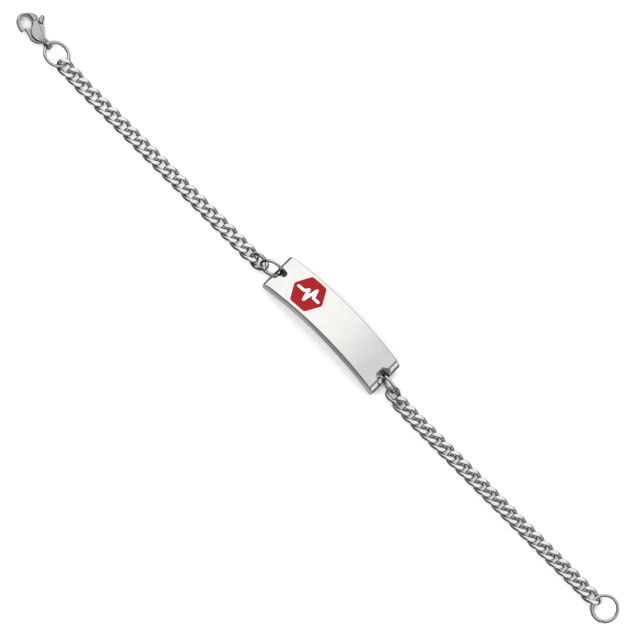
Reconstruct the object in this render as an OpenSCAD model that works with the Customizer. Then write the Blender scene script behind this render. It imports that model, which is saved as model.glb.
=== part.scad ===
// Medical alert bracelet, laid open and straight along X on the plane z = 0.
// X runs from the clasp to the closing ring, Y across the identity plate, Z up. The origin
// is below the middle of the whole bracelet; both chains lie on a line in front of it.

/* [Identity plate] */
// Length of the plate, measured straight from end to end
plate_length = 39.4; // [36:0.1:42]
// Width of the plate
plate_width = 10.7; // [9:0.1:13]
// Thickness of the plate
plate_thickness = 3.0; // [2.6:0.1:3.3]
// Height by which the middle of the plate arches over its ends
plate_rise = 3.8; // [3:0.1:4.4]
// Height of the plate's lower end corners over the surface
plate_clear = 1.33; // [1.1:0.01:1.5]
// Length of the buffed roll-off on the top at each end
buff_length = 1.55; // [1:0.05:2]
// Share of the end's upper half that the roll-off's bevel would fall by at the plate's end
buff_fall = 0.66; // [0.5:0.02:0.75]
// Length of the round edge that follows the bevel
buff_round = 0.64; // [0.4:0.02:0.8]
// Length by which the lower end corners draw back
buff_under = 0.67; // [0.4:0.01:0.9]
// Radius of the plate's corners seen from above
plate_corner = 0.5; // [0.3:0.05:1]

/* [Keyhole notches] */
// Diameter of the hole in each end
hole_d = 2.0; // [1.8:0.05:2.4]
// Distance from the plate's end to the hole's centre
hole_inset = 1.8; // [1.6:0.05:2.1]
// Width of the notch where it opens at the end
mouth_width = 3.0; // [2.6:0.05:3.4]
// Width of the bridge along the plate
bridge_width = 0.62; // [0.5:0.01:0.7]
// Height of the bridge
bridge_height = 0.7; // [0.5:0.05:0.8]
// Distance from the plate's end to the bridge
bridge_inset = 0.07; // [0.04:0.01:0.1]

/* [Emblem] */
// Length of the enamel badge along the plate
badge_length = 9.0; // [7:0.1:10]
// Width of the enamel badge across the plate
badge_width = 8.85; // [7:0.05:9]
// Distance from the plate's left end to the badge's centre
badge_inset = 10.0; // [9:0.1:20]
// Depth of the enamel in the plate
badge_depth = 0.5; // [0.3:0.05:0.8]
// Height by which the enamel stands over the plate
badge_proud = 0.05; // [0.02:0.01:0.1]
// Gap between the enamel and its recess, and between the pulse line and its groove
inlay_gap = 0.03; // [0.02:0.01:0.05]
// Radius of the badge's corners
badge_corner = 1.0; // [0.5:0.1:1.5]
// Width of the pulse line
pulse_width = 0.75; // [0.5:0.05:1]
// Height by which the pulse line stands over the enamel
pulse_proud = 0.05; // [0.02:0.01:0.1]
// Depth of the pulse line in the enamel
pulse_depth = 0.25; // [0.15:0.05:0.25]

/* [Chains] */
// Diameter of the links' wire
link_wire = 1.08; // [1:0.01:1.1]
// Width of a link between its wire's centres
link_width = 3.04; // [3:0.01:3.2]
// Play between the ends of neighbouring links on the taut chain
link_play = 0.17; // [0.12:0.01:0.25]
// Height by which the twist lifts and lowers a link's sides
link_twist = 0.72; // [0.68:0.01:0.76]
// Thickness of the chain after its faces were ground flat
chain_thickness = 1.8; // [1.7:0.02:1.9]
// Distance between the links of the left chain
left_pitch = 3.49; // [3.44:0.01:3.54]
// Number of links in the left chain
left_links = 21; // [6:1:30]
// Distance between the links of the right chain
right_pitch = 3.235; // [3.2:0.005:3.35]
// Number of links in the right chain
right_links = 23; // [6:1:30]
// Distance of the chains' line in front of the plate's middle
chain_offset = 1.0; // [0.9:0.02:1.1]

/* [Rings] */
// Radius of the rings in the plate, to the middle of their wire
plate_ring_r = 2.8; // [2.7:0.05:2.9]
// Diameter of the wire of the rings in the plate
plate_ring_wire = 0.8; // [0.7:0.02:0.86]
// Radius of the clasp's ring, to the middle of its wire
clasp_ring_r = 3.35; // [3.1:0.05:3.6]
// Diameter of the wire of the clasp's ring
clasp_ring_wire = 0.8; // [0.7:0.02:0.86]
// Radius of the closing ring, to the middle of its wire
end_ring_r = 3.32; // [3.1:0.02:3.6]
// Diameter of the wire of the closing ring
end_ring_wire = 0.86; // [0.76:0.02:0.92]
// Width of the butt joint in the closing ring
ring_seam = 0.1; // [0.04:0.01:0.14]
// Direction of the butt joint, seen from above
seam_angle = -54; // [-90:1:0]

/* [Clasp] */
// Length of the clasp's outline from the hook's nose to the neck
clasp_length = 9.6; // [9:0.1:10.5]
// Thickness of the clasp
clasp_thickness = 2.3; // [2.1:0.05:2.5]
// Thickness of the lever between the cheeks
lever_thickness = 1.0; // [0.8:0.02:1.1]
// Running clearance of the lever on each side
lever_play = 0.08; // [0.05:0.01:0.12]
// Height taken off above and below the hook at its tip
hook_taper = 0.5; // [0.3:0.02:0.56]
// Diameter of the pin
pin_d = 0.8; // [0.7:0.02:0.9]
// Radial clearance of the lever on its pin
pin_play = 0.04; // [0.02:0.01:0.06]
// Radial clearance of the pin in the cheeks
pin_seat = 0.015; // [0.01:0.005:0.03]
// Diameter of the hole in the eye
eye_hole_d = 1.7; // [1.6:0.02:1.8]
// Width of metal around the eye's hole
eye_wall = 0.45; // [0.4:0.01:0.5]
// Width of the eye across the clasp
eye_width = 1.1; // [0.9:0.05:1.3]

/* [Hidden] */
eps = 0.01;

// Plate: the top is a cylinder about Y whose chord and rise are those of the plate
half_plate = plate_length / 2;
arch_r = (half_plate * half_plate + plate_rise * plate_rise) / (2 * plate_rise);
under_r = arch_r - plate_thickness;
under_end = half_plate - buff_under;
arch_z = plate_clear - sqrt(under_r * under_r - under_end * under_end);
plate_top = arch_z + arch_r;
function top_z(x) = arch_z + sqrt(arch_r * arch_r - x * x);
function under_z(x) = arch_z + sqrt(under_r * under_r - x * x);
// Height at which the plate's end reaches furthest out, and steps of the curves from there
nose_z = (top_z(half_plate - buff_length) + plate_clear) / 2;
roll_steps = 8;
draw_steps = 5;

// Notches
hole_x = half_plate - hole_inset;
hole_r = hole_d / 2;
bridge_x = half_plate - bridge_inset - bridge_width / 2;

// Emblem
badge_x = badge_inset - half_plate;
enamel_r = arch_r + badge_proud;
pulse_r = enamel_r + pulse_proud;

// Links: half length to the middle of the wire, so that a taut chain keeps its play
link_r = link_wire / 2;
link_a = (left_pitch + link_wire + link_play) / 2;
link_b = link_width / 2;
link_steps = 16;
link_sides = 6;
link_z = chain_thickness / 2;

// Rings in the plate: inside the ring, the bridge keeps this clearance
ring_clear = 0.23;
ring_yaw_left = 15.3;
ring_yaw_right = -8.9;
plate_ring_x = bridge_x - bridge_width / 2 + plate_ring_r * cos(ring_yaw_left)
    - plate_ring_wire / 2 - ring_clear;

// How the end links and the rings lie, chosen by hand so that each hangs in the next:
// ring: tilt about X, lean about Y, yaw about Z, centre's distance behind the chains' line
left_ring_lie = [77.54, 0, ring_yaw_left, 0.48];
right_ring_lie = [97.44, 0, ring_yaw_right, 0.79];
clasp_ring_lie = [-11.7, 2.86, 0, 1];
end_ring_lie = [18, -1.6, 0, 0.01];
// end link: overlap beyond touching wires, roll, pitch, shift in Y, lift, gap to the next link
left_plate_hang = [0.83, 23.27, -12.14, -0.2, 0.89, 3.12];
left_clasp_hang = [0.43, 10.76, 0.33, 0.12, 0.3, 3.31];
right_plate_hang = [1.08, -12.85, 15.96, 0.2, 0.83, 3.21];
right_end_hang = [0.18, -5.8, -7.7, -0.11, 0.25, 3.28];
// link after it: roll, pitch, shift in Y, lift
left_second = [-2.44, -3.66, -0.08, 0.11];
right_second = [-2.54, 2.7, 0, 0.16];
left_last_second = [5.8, 4.22, 0.12, 0.12];
right_last_second = [0, 0, 0, 0];

// Distance between a ring's centre and the link in it
function hang_x(ring_r, ring_wire, hang) =
    ring_r + link_a - ring_wire / 2 - link_r - hang[0];
// Height of a ring's centre when its lowest wire lies on the surface
function ring_z(ring_r, ring_wire, lie) = ring_wire / 2
    + ring_r * sqrt(pow(sin(lie[0]) * cos(lie[1]), 2) + pow(sin(lie[1]), 2));

chain_y = -chain_offset;
left_first = -plate_ring_x - hang_x(plate_ring_r, plate_ring_wire, left_plate_hang);
left_last = left_first - left_plate_hang[5] - left_clasp_hang[5] - (left_links - 3) * left_pitch;
clasp_ring_x = left_last - hang_x(clasp_ring_r, clasp_ring_wire, left_clasp_hang);
right_first = plate_ring_x + hang_x(plate_ring_r, plate_ring_wire, right_plate_hang);
right_last = right_first + right_plate_hang[5] + right_end_hang[5]
    + (right_links - 3) * right_pitch;
end_ring_x = right_last + hang_x(end_ring_r, end_ring_wire, right_end_hang);

left_ring_at = [-plate_ring_x, chain_y + left_ring_lie[3],
    ring_z(plate_ring_r, plate_ring_wire, left_ring_lie)];
right_ring_at = [plate_ring_x, chain_y + right_ring_lie[3],
    ring_z(plate_ring_r, plate_ring_wire, right_ring_lie)];
clasp_ring_at = [clasp_ring_x, chain_y + clasp_ring_lie[3],
    ring_z(clasp_ring_r, clasp_ring_wire, clasp_ring_lie)];
end_ring_at = [end_ring_x, chain_y + end_ring_lie[3],
    ring_z(end_ring_r, end_ring_wire, end_ring_lie)];

// Clasp: the eye hangs on the clasp ring's outermost wire; the outline ends at the eye
eye_r = eye_hole_d / 2 + eye_wall;
eye_x = clasp_ring_x - clasp_ring_r;
eye_y = clasp_ring_at[1];
nose_x = eye_x - eye_r - clasp_length + 0.4;
clasp_y = eye_y - 1.3;
pin_at = [86, 10.5];
slot_room = 0.3;
cheek = (clasp_thickness - lever_thickness) / 2 - lever_play;
slot_z = cheek;
slot_height = clasp_thickness - 2 * cheek;
lever_z = cheek + lever_play;

// Outlines in hundredths of clasp_length, from the hook's nose and the clasp's middle line
hook_outline = [
    [40, -12], [40, -4.5], [37, -3.8], [33, -3.6], [25, -4.4], [15, 3.5], [8, 13],
    [10, 24], [17, 31], [26, 32], [36, 30], [44, 23], [47.5, 15.5], [52, 8], [60, -0.5],
    [70, -3.5], [82, -2.5], [90, 2], [96, 6.5], [101, 7.5], [101, 20.5], [94, 20.5],
    [87, 18], [79, 22], [64, 31], [50, 36], [43.5, 39.5], [39, 46.5], [32, 48], [22, 44],
    [12, 36.5], [4.5, 24.5], [0, 17], [0, 12], [5, 2], [14, -5.5], [24, -10.5], [34, -12.7]
];
lever_outline = [
    [37, 3.6], [37.4, -2.2], [42, -2.8], [52, -3], [59, -6], [69, -10.4], [82, -8.4],
    [95, 1], [93.5, 6], [93.5, 11], [92, 16], [88.5, 22.5], [82, 31], [72, 41], [63, 44],
    [57, 42], [50, 40], [51, 37.5], [63, 33], [77, 26], [80, 18], [78, 9], [66, 5], [50, 5.5]
];
tab_outline = [
    [41, 54], [42, 60.5], [46, 62.8], [51, 62.2], [54.5, 57.5], [58, 50], [64, 44.2],
    [56.5, 40.5], [50, 38.8], [45.5, 44]
];

// Closed outline with its corners cut twice, so that it turns smoothly
function cut_corners(p) = [for (i = [0 : len(p) - 1])
    let (a = p[i], b = p[(i + 1) % len(p)])
    each [a * 0.75 + b * 0.25, a * 0.25 + b * 0.75]];
function smooth(p) = cut_corners(cut_corners(p));
function in_clasp(p) = [for (q = p)
    [nose_x + q[0] * clasp_length / 100, clasp_y + q[1] * clasp_length / 100]];

pin_x = nose_x + pin_at[0] * clasp_length / 100;
pin_y = clasp_y + pin_at[1] * clasp_length / 100;

// Up to here x counts from the plate's middle; place() moves it to the bracelet's middle
left_end = min([for (p = in_clasp(smooth(hook_outline))) p[0]]);
right_end = end_ring_x + end_ring_wire / 2 + end_ring_r
    * sqrt(pow(cos(end_ring_lie[1]), 2) + pow(sin(end_ring_lie[1]) * sin(end_ring_lie[0]), 2));
middle_x = (left_end + right_end) / 2;

module place() {
    translate([-middle_x, 0, 0]) children();
}

// Plate seen from the front: at each end a bevel falls from the top, a round edge runs from it
// to the nose, and a quarter ellipse from there to the underside
bevel_start = [half_plate - buff_length, top_z(half_plate - buff_length) + 0.02];
bevel_corner = [half_plate, bevel_start[1] - buff_fall * (bevel_start[1] - nose_z)];
round_start = bevel_corner + (bevel_start - bevel_corner) * buff_round / buff_length;
nose = [half_plate, nose_z];
function end_curve(s) = [for (p = concat([bevel_start],
    [for (k = [0 : roll_steps]) let (t = k / roll_steps)
        pow(1 - t, 2) * round_start + 2 * t * (1 - t) * bevel_corner + t * t * nose],
    [for (k = [1 : draw_steps]) let (t = -k * 90 / draw_steps)
        [under_end + buff_under * cos(t), nose_z + (nose_z - plate_clear + 0.02) * sin(t)]]))
    [s * p[0], p[1]]];
function reversed(p) = [for (i = [len(p) - 1 : -1 : 0]) p[i]];

module along_y(width) {
    rotate([90, 0, 0]) translate([0, 0, -width / 2]) linear_extrude(width) children();
}

module plate_blank() {
    x0 = bevel_start[0];
    intersection() {
        along_y(plate_width) polygon(concat(
            [[-x0, plate_top + 1]], [[x0, plate_top + 1]], end_curve(1),
            [[under_end - 1, arch_z + under_r * 0.9]], [[1 - under_end, arch_z + under_r * 0.9]],
            reversed(end_curve(-1))));
        translate([0, plate_width / 2, arch_z]) rotate([90, 0, 0]) difference() {
            cylinder(h = plate_width, r = arch_r, $fn = 360);
            translate([0, 0, -eps]) cylinder(h = plate_width + 2 * eps, r = under_r, $fn = 360);
        }
        translate([-half_plate, -plate_width / 2, 0]) linear_extrude(plate_top + 1)
            plate_plan();
    }
}

module plate_plan() {
    c = plate_corner;
    translate([c, 0]) square([plate_length - 2 * c, plate_width]);
    translate([0, c]) square([plate_length, plate_width - 2 * c]);
    for (x = [c, plate_length - c], y = [c, plate_width - c])
        translate([x, y]) circle(r = c, $fn = 32);
}

module notch(s) {
    translate([s * hole_x, 0, -eps]) cylinder(h = plate_top + 1, r = hole_r, $fn = 48);
    translate([0, 0, -eps]) linear_extrude(plate_top + 1) polygon([
        [s * hole_x, hole_r], [s * (half_plate + 1), mouth_width / 2 * 1.2],
        [s * (half_plate + 1), -mouth_width / 2 * 1.2], [s * hole_x, -hole_r]]);
}

module bridge(s) {
    z = nose_z - 0.05;
    translate([s * bridge_x - bridge_width / 2, -mouth_width / 2 - 0.2, z - bridge_height / 2])
        cube([bridge_width, mouth_width + 0.4, bridge_height]);
}

// Hexagon with round corners: an arc of each corner's radius runs from the one side's
// outward direction to the next
function outward(a, b) = [a[1] - b[1], b[0] - a[0]] / norm(b - a);
function arc(at, r, n1, n2) =
    let (t1 = atan2(n1[1], n1[0]), t2 = atan2(n2[1], n2[0]), turn = (t2 - t1 - 540) % 360 + 180)
    [for (k = [0 : 6]) at + r * [cos(t1 + turn * k / 6), sin(t1 + turn * k / 6)]];

module badge_plan(gap) {
    c = badge_corner;
    l = badge_length / 2 - c;
    w = badge_width / 2 - c;
    p = [[-l, 0], [-l / 2, w], [l / 2, w], [l, 0], [l / 2, -w], [-l / 2, -w]];
    polygon([for (i = [0 : 5])
        let (a = p[(i + 5) % 6], b = p[i], d = p[(i + 1) % 6])
        each arc(b, c - gap, outward(a, b), outward(b, d))]);
}

module pulse_plan(gap) {
    d = pulse_width - 2 * gap;
    l = badge_length * 0.36;
    h = badge_width * 0.25;
    p = [[-l, 0], [-l * 0.42, 0], [-l * 0.2, h * 0.45], [l * 0.02, -h * 0.9], [l * 0.3, h],
        [l * 0.5, 0], [l, 0]];
    for (i = [0 : len(p) - 2]) stroke(p[i], p[i + 1], d);
}

module stroke(a, b, width) {
    n = outward(a, b) * width / 2;
    polygon([a - n, b - n, b + n, a + n]);
    translate(b) circle(d = width, $fn = 12);
    translate(a) circle(d = width, $fn = 12);
}

// What lies between two heights over the arch's axis, within the children's outline
module between(r0, r1) {
    difference() {
        intersection() {
            translate([badge_x, 0, under_z(0)]) linear_extrude(plate_thickness + 1) children();
            barrel(r1);
        }
        barrel(r0);
    }
}

module barrel(r) {
    translate([0, plate_width / 2, arch_z]) rotate([90, 0, 0])
        cylinder(h = plate_width, r = r, $fn = 360);
}

module id_plate() {
    color("gainsboro") place() {
        difference() {
            plate_blank();
            notch(1);
            notch(-1);
            between(arch_r - badge_depth, arch_r + 1) badge_plan(0);
        }
        bridge(1);
        bridge(-1);
    }
}

module emblem_enamel() {
    color("firebrick") place() difference() {
        between(arch_r - badge_depth + inlay_gap, enamel_r) badge_plan(inlay_gap);
        between(enamel_r - pulse_depth, enamel_r + 1) pulse_plan(0);
    }
}

module pulse_line() {
    color("white") place()
        between(enamel_r - pulse_depth + inlay_gap, pulse_r) pulse_plan(inlay_gap);
}

module ring(at, lie, ring_r, wire) {
    translate(at) rotate([lie[0], lie[1], lie[2]])
        rotate_extrude($fn = 64) translate([ring_r, 0]) circle(d = wire, $fn = 24);
}

// One link: the wire follows an oval whose sides rise and fall with the twist, and the
// faces are ground flat at half the chain's thickness on both sides
function link_point(t) =
    [link_a * cos(t), link_b * sin(t), -link_twist * sin(2 * t)];
function link_out(t) =
    let (d = [link_b * cos(t), link_a * sin(t), 0]) d / norm(d);
function link_along(t) =
    let (d = [-link_a * sin(t), link_b * cos(t), -2 * link_twist * cos(2 * t)]) d / norm(d);
function ground(p) = [p[0], p[1], max(-link_z, min(link_z, p[2]))];
link_points = [for (i = [0 : link_steps - 1], j = [0 : link_sides - 1])
    let (t = (i + 0.5) * 360 / link_steps, f = (j + 0.5) * 360 / link_sides,
        o = link_out(t), b = cross(link_along(t), o))
    ground(link_point(t) + link_r * (cos(f) * o + sin(f) * b))];
link_faces = [for (i = [0 : link_steps - 1], j = [0 : link_sides - 1])
    let (i2 = (i + 1) % link_steps, j2 = (j + 1) % link_sides, m = link_sides)
    each [[i * m + j, i2 * m + j, i2 * m + j2], [i * m + j, i2 * m + j2, i * m + j2]]];

module link(x, y, lift, roll, pitch) {
    translate([x, y, link_z + lift]) rotate([roll, pitch, 0])
        polyhedron(points = link_points, faces = link_faces, convexity = 4);
}

// Chain from its plate end at x0, with s = 1 to the right and -1 to the left
module chain(s, x0, count, pitch, hang, second, far, far_second) {
    x1 = x0 + s * hang[5];
    x2 = x1 + s * (count - 3) * pitch;
    link(x0, chain_y + hang[3], hang[4], hang[1], hang[2]);
    link(x1, chain_y + second[2], second[3], second[0], second[1]);
    for (k = [1 : count - 4]) link(x1 + s * k * pitch, chain_y, 0, 0, 0);
    link(x2, chain_y + far_second[2], far_second[3], far_second[0], far_second[1]);
    link(x2 + s * far[5], chain_y + far[3], far[4], far[1], far[2]);
}

module chain_left() {
    color("silver") place() chain(-1, left_first, left_links, left_pitch, left_plate_hang,
        left_second, left_clasp_hang, left_last_second);
}

module chain_right() {
    color("silver") place() chain(1, right_first, right_links, right_pitch, right_plate_hang,
        right_second, right_end_hang, right_last_second);
}

module plate_ring_left() {
    color("lightgray") place() ring(left_ring_at, left_ring_lie, plate_ring_r, plate_ring_wire);
}

module plate_ring_right() {
    color("lightgray") place() ring(right_ring_at, right_ring_lie, plate_ring_r, plate_ring_wire);
}

module clasp_ring() {
    color("lightgray") place() ring(clasp_ring_at, clasp_ring_lie, clasp_ring_r, clasp_ring_wire);
}

module end_ring() {
    color("lightgray") place() difference() {
        ring(end_ring_at, end_ring_lie, end_ring_r, end_ring_wire);
        translate(end_ring_at) rotate([0, 0, seam_angle])
            translate([end_ring_r - end_ring_wire, -ring_seam / 2, -2 * end_ring_r])
                cube([2 * end_ring_wire, ring_seam, 4 * end_ring_r]);
    }
}

// The hook thins towards its tip: what this wedge takes off above and below it
module hook_thinning() {
    over = 1;
    length = 41.5 * clasp_length / 100;
    depth = 30 * clasp_length / 100;
    for (m = [0, 1]) translate([nose_x - over, clasp_y, m * clasp_thickness]) mirror([0, 0, m])
        rotate([90, 0, 90]) linear_extrude(length + over)
            polygon([[depth * 0.5, 0], [-depth * 0.2, hook_taper], [-depth, hook_taper],
                [-depth, -1], [depth * 0.5, -1]]);
}

module clasp_body() {
    slot_r = (pin_at[0] - lever_outline[0][0] + 2) * clasp_length / 100;
    slot_end = max([for (q = smooth(lever_outline)) q[0]]) + slot_room;
    slot_x = nose_x + slot_end * clasp_length / 100;
    slot_y = clasp_y - 3.4 * clasp_length / 100;
    color("gainsboro") place() difference() {
        union() {
            difference() {
                linear_extrude(clasp_thickness) polygon(in_clasp(smooth(hook_outline)));
                hook_thinning();
            }
            translate([eye_x, eye_y + eye_width / 2, eye_r]) rotate([90, 0, 0])
                cylinder(h = eye_width, r = eye_r, $fn = 48);
        }
        translate([eye_x, eye_y + clasp_thickness, eye_r]) rotate([90, 0, 0])
            cylinder(h = 2 * clasp_thickness, d = eye_hole_d, $fn = 48);
        translate([0, 0, slot_z]) intersection() {
            translate([pin_x, pin_y, 0]) cylinder(h = slot_height, r = slot_r, $fn = 96);
            translate([slot_x - 2 * slot_r, slot_y, 0])
                cube([2 * slot_r, 2 * slot_r, slot_height]);
        }
        translate([pin_x, pin_y, -eps])
            cylinder(h = clasp_thickness + 2 * eps, d = pin_d + 2 * pin_seat, $fn = 32);
    }
}

module clasp_lever() {
    color("gainsboro") place() difference() {
        union() {
            translate([0, 0, lever_z]) linear_extrude(lever_thickness)
                polygon(in_clasp(smooth(lever_outline)));
            linear_extrude(clasp_thickness) polygon(in_clasp(smooth(tab_outline)));
        }
        translate([pin_x, pin_y, -eps])
            cylinder(h = clasp_thickness + 2 * eps, d = pin_d + 2 * pin_play, $fn = 32);
    }
}

module clasp_pin() {
    color("lightgray") place() translate([pin_x, pin_y, 0])
        cylinder(h = clasp_thickness, d = pin_d, $fn = 32);
}

id_plate();
emblem_enamel();
pulse_line();
plate_ring_left();
plate_ring_right();
chain_left();
chain_right();
clasp_ring();
clasp_body();
clasp_lever();
clasp_pin();
end_ring();
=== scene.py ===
"""Medical alert bracelet, laid open: the polished look of its plate, enamel badge, chains, rings and clasp.

Lengths are in metres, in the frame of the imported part: X from the clasp to the closing ring,
Y across the identity plate and Z up from the surface that the bracelet lies on.
"""

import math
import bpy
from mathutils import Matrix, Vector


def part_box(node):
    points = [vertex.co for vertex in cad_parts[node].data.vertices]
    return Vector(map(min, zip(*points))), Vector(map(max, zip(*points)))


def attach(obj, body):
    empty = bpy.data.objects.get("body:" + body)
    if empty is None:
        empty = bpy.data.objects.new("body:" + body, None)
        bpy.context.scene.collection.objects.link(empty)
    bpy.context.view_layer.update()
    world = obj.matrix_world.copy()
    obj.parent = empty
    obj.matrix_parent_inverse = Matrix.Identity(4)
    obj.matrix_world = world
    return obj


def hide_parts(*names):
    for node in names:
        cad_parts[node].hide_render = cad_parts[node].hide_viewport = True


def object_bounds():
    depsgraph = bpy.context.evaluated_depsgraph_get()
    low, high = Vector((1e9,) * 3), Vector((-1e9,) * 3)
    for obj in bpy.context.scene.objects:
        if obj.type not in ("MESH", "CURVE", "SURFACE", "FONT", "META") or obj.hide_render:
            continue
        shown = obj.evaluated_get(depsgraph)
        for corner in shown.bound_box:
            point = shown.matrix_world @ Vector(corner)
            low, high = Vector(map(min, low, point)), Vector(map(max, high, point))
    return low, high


bl_info = {
    "name": "Medical alert bracelet",
    "version": (1, 0, 0),
    "blender": (4, 5, 0),
    "location": "3D View > Sidebar > Bracelet",
    "description": "Builds a steel medical alert bracelet on its packed frame",
    "category": "Add Mesh",
}

import bmesh
import bpy
import numpy as np
from bpy.props import FloatProperty, FloatVectorProperty, IntProperty, PointerProperty
from bpy.types import Operator, Panel, PropertyGroup
from mathutils import Matrix, Vector

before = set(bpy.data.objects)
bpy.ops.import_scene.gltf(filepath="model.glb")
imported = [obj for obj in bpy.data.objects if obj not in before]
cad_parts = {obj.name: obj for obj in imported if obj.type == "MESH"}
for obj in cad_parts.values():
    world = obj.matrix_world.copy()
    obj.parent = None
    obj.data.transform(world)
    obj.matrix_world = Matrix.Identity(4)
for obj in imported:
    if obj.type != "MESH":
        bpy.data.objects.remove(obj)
CAD_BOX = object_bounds()
MM = 0.001

# Points nearer than this are one point
MERGE = 1e-7
# The notch's slanting sides are aimed at a width of 1.2 mouths, this far past the plate's end
NOTCH_OVER = 1.0 * MM
# How far a bridge's middle hangs below the plate's nose, and how far it runs into the metal
BRIDGE_DROP, BRIDGE_ROOT = 0.05 * MM, 0.2 * MM
# How sharply the links' ground faces begin
GROUND_POWER = 24
# Y in mm of the row of links between the ones at a chain's ends
CHAIN_Y = -1.0

# How the rings lie: tilt about X, lean about Y and yaw about Z, in degrees
RING_LIES = {
    "plate_ring_left": (77.54, 0.0, 15.3),
    "plate_ring_right": (97.44, 0.0, -8.9),
    "clasp_ring": (-11.7, 2.86, 0.0),
    "end_ring": (18.0, -1.6, 0.0),
}
# End links that hang in a ring: X, Y, lift in mm, roll and pitch in degrees, then the link
# beside each; the links between them lie flat at an even pitch
LEFT_ENDS = {
    "plate": (-20.3702, -1.2, 0.89, 23.27, -12.14),
    "plate_next": (-23.4902, -1.08, 0.11, -2.44, -3.66),
    "far_next": (-86.3102, -0.88, 0.12, 5.8, 4.22),
    "far": (-89.6202, -0.88, 0.3, 10.76, 0.33),
}
RIGHT_ENDS = {
    "plate": (28.3414, -0.8, 0.83, -12.85, 15.96),
    "plate_next": (31.5514, -1.0, 0.16, -2.54, 2.7),
    "far_next": (96.2514, -1.0, 0.0, 0.0, 0.0),
    "far": (99.5314, -1.11, 0.25, -5.8, -7.7),
}

# Brightness of the light tent by the Z of a direction, from -1 straight down to 1 straight up:
# the bright strips at the right and behind with their dark seams, the plain left side, the
# front, and what shines up in the floor's place
TENT_BANDS = (
    (-1.0, 0.0), (-0.02, 0.02), (0.16, 0.02), (0.21, 0.95), (0.32, 0.95),
    (0.38, 0.06), (0.57, 0.07), (0.665, 0.86), (0.75, 0.90), (1.0, 0.90),
)
TENT_LEFT = ((-1.0, 0.0), (-0.02, 0.12), (0.08, 0.16), (0.17, 0.90), (1.0, 0.90))
TENT_FRONT = (
    (-1.0, 0.0), (-0.40, 0.01), (-0.02, 0.02), (0.14, 0.05), (0.28, 0.16),
    (0.44, 0.38), (0.61, 0.42), (0.72, 0.03), (1.0, 0.03),
)
TENT_BELOW = (
    (-1.0, 0.36), (-0.95, 0.36), (-0.91, 0.30), (-0.80, 0.02),
    (-0.45, 0.02), (-0.25, 0.03), (-0.05, 0.0), (1.0, 0.0),
)
# Smooth steps over the X or Y of a direction: the range, then the values at its two ends
TO_LEFT = ((-0.12, -0.55), (0.0, 1.0))
TO_FRONT = ((-0.05, -0.42), (0.0, 1.0))
DIM_RIGHT = ((-0.05, 0.60), (1.0, 0.68))
GLOW_RIGHT = ((0.50, 0.70), (0.0, 0.09))
# The two lamps: side in metres and places
LAMP_SIDE = 0.6
LAMP_BACK, LAMP_FRONT = (-0.25, 0.20, 0.75), (-0.15, -0.60, 0.60)


def length(name, text, value):
    """A size in metres as it shows in the sidebar."""
    return FloatProperty(name=name, description=text, default=value, min=0.0, precision=5, unit="LENGTH")


def share(name, text, value):
    """A number from 0 to 1 as it shows in the sidebar."""
    return FloatProperty(name=name, description=text, default=value, min=0.0, max=1.0, precision=3)


def colour(name, text, value):
    """A linear colour as it shows in the sidebar."""
    return FloatVectorProperty(
        name=name, description=text, default=value, min=0, max=1, size=3, subtype="COLOR"
    )


def number_of(name, text, value):
    """A number of links as it shows in the sidebar."""
    return IntProperty(name=name, description=text, default=value, min=6, max=30)


def degrees(name, text, value):
    """An angle, given in degrees, as it shows in the sidebar."""
    return FloatProperty(name=name, description=text, default=math.radians(value), subtype="ANGLE")


def strength(name, text, value):
    """A strength of light as it shows in the sidebar."""
    return FloatProperty(name=name, description=text, default=value, min=0)


class BRACELET_PG_plate(PropertyGroup):
    """Sizes of the identity plate and its enamel badge."""

    span: length("Length", "Plate from end to end", 39.4 * MM)
    width: length("Width", "Plate across the wrist", 10.7 * MM)
    thickness: length("Thickness", "Thickness of the plate", 3.0 * MM)
    rise: length("Rise", "Height by which the middle arches over the ends", 3.8 * MM)
    clear: length("Clearance", "Height of the lower end corners over the surface", 1.33 * MM)
    buff_length: length("Buffed length", "Roll-off on the top at each end", 1.55 * MM)
    buff_round: length("Round edge", "Round edge that follows the roll-off's bevel", 0.64 * MM)
    buff_fall: share("Bevel fall", "Share of the end's upper half that the bevel would fall by", 0.66)
    buff_under: length("Draw back", "Draw back of the lower end corners", 0.67 * MM)
    corner: length("Corner", "Radius of the corners seen from above", 0.5 * MM)
    edge: length("Edge", "Radius polished onto the long edges", 0.26 * MM)
    hole: length("Hole", "Diameter of the keyhole", 2.0 * MM)
    inset: length("Inset", "Plate's end to the hole's centre", 1.8 * MM)
    mouth: length("Mouth", "Width of the notch at the plate's end", 3.0 * MM)
    bridge_width: length("Bridge width", "Bridge in the notch, along the plate", 0.62 * MM)
    bridge_height: length("Bridge height", "Bridge in the notch, from top to bottom", 0.7 * MM)
    bridge_inset: length("Bridge inset", "Plate's end to the bridge", 0.07 * MM)
    badge_length: length("Badge length", "Badge along the plate", 9.0 * MM)
    badge_width: length("Badge width", "Badge across the plate", 8.85 * MM)
    badge_inset: length("Badge inset", "Plate's left end to the badge's centre", 10.0 * MM)
    badge_corner: length("Badge corner", "Radius of the badge's corners", 1.0 * MM)
    badge_proud: length("Badge relief", "Enamel over the plate", 0.05 * MM)


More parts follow.
